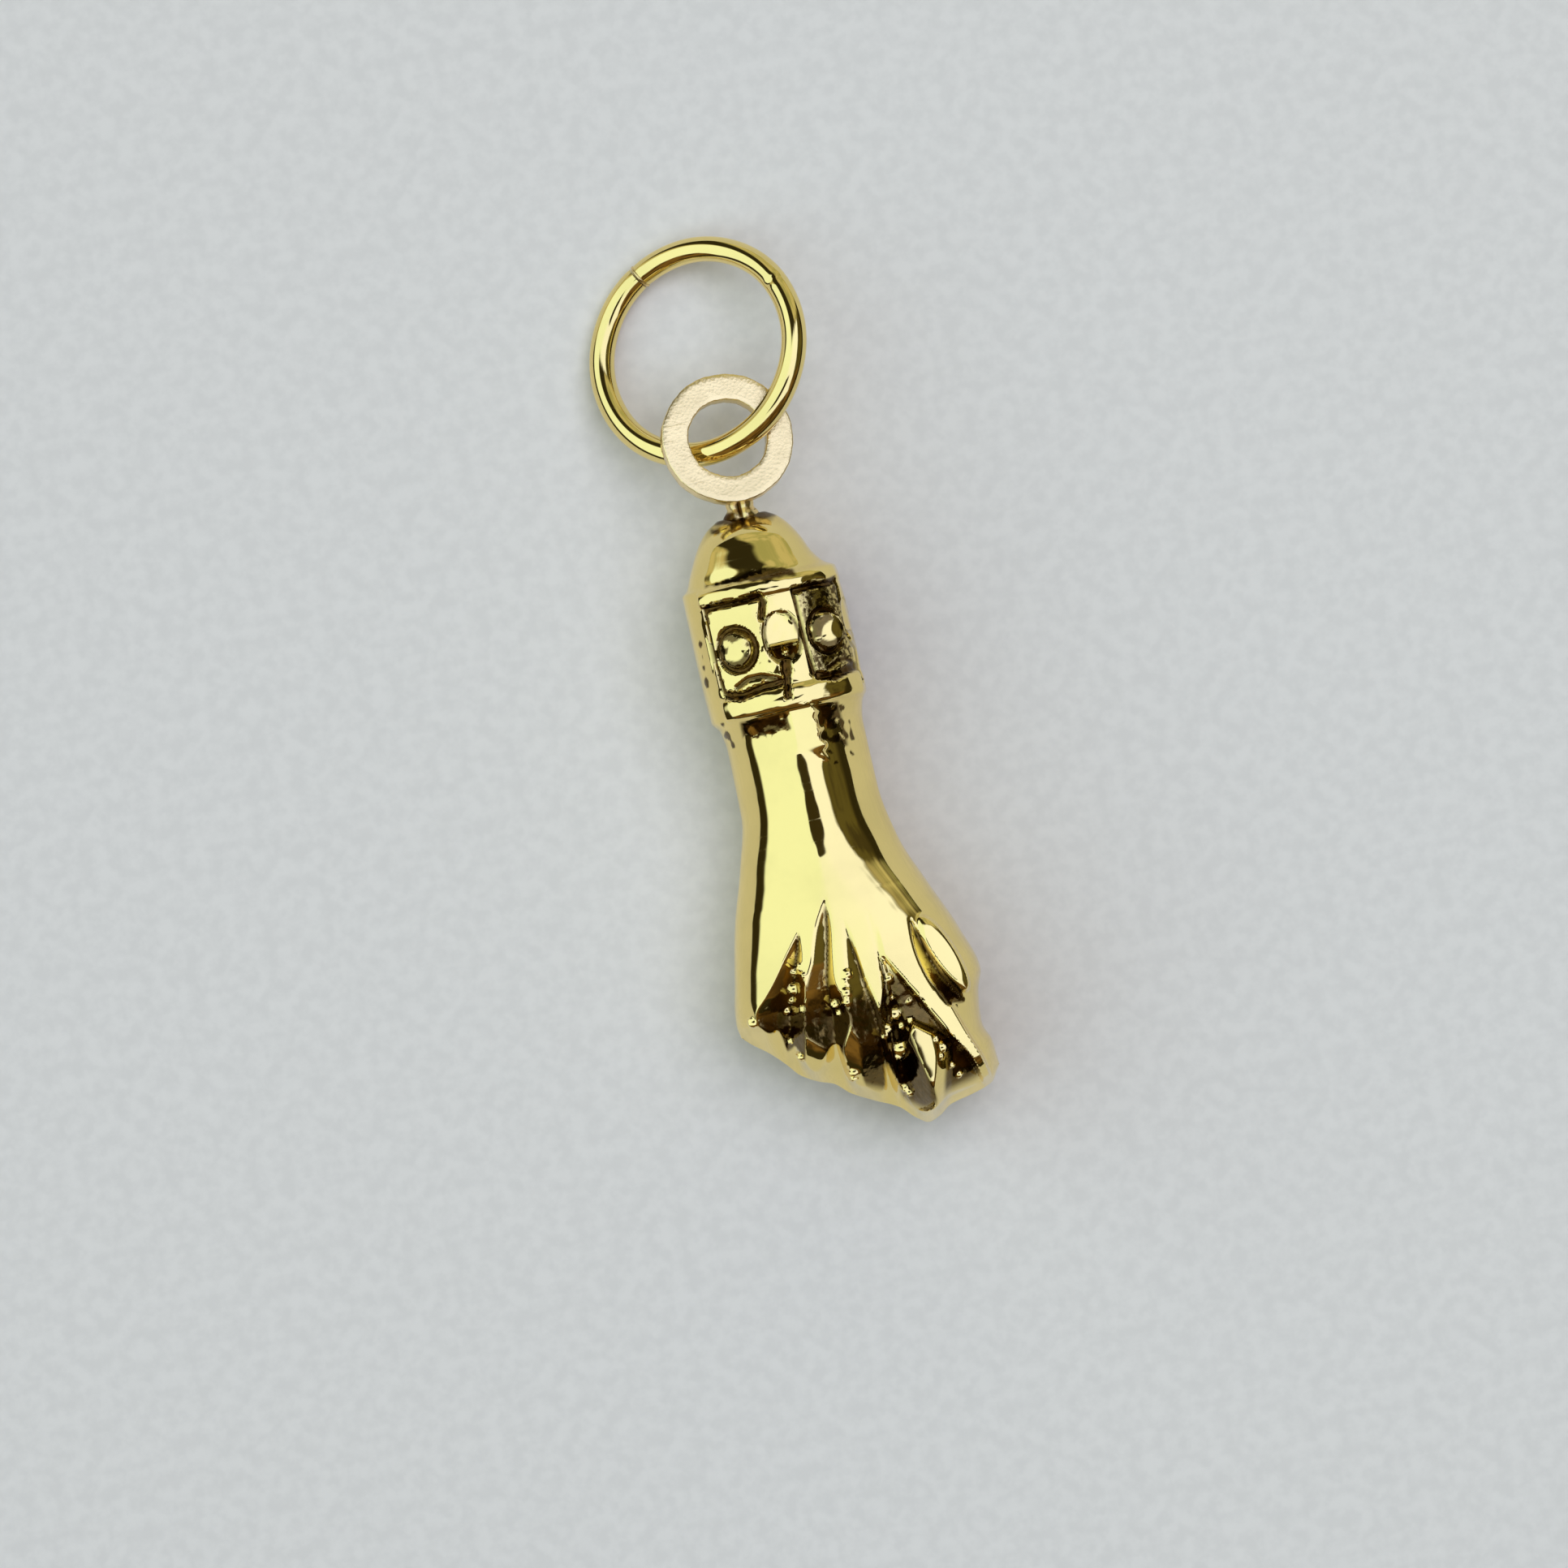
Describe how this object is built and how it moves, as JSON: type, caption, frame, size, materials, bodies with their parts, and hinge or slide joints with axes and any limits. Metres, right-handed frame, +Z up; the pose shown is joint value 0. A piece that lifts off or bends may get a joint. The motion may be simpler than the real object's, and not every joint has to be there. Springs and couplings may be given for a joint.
{
  "type": "figa charm",
  "caption": "Small hollow gold hand charm, the thumb tucked between two fingers, with an ornamented cuff, a flat hanging eye and a round jump ring.",
  "frame": {"origin": "middle of the underside of the charm's box, on the table it lies on", "axes": "+Z up from the table through the back of the hand, +Y along the arm from the knuckles to the jump ring, +X across the hand toward the index finger"},
  "size_m": [0.006, 0.0216, 0.004],
  "materials": {
    "polished_gold": "polished yellow gold",
    "satin_gold": "satin yellow gold, as stamped",
    "gold_solder": "gold solder, smoothed by hand"
  },
  "bodies": {
    "hand": {"front_shell": "polished_gold", "back_shell": "polished_gold", "seam_solder": "gold_solder", "hanging_eye": "satin_gold", "eye_solder": "gold_solder"},
    "ring": {"jump_ring": "polished_gold", "jump_ring_solder": "gold_solder"}
  },
  "joints": [
    {"name": "ring_swing", "type": "hinge", "parent": "hand", "child": "ring", "pos_m": [-0.00018, 0.00574, 0.00228], "axis": [0.866, 0, 0.5], "range_deg": [0, 165]}
  ]
}
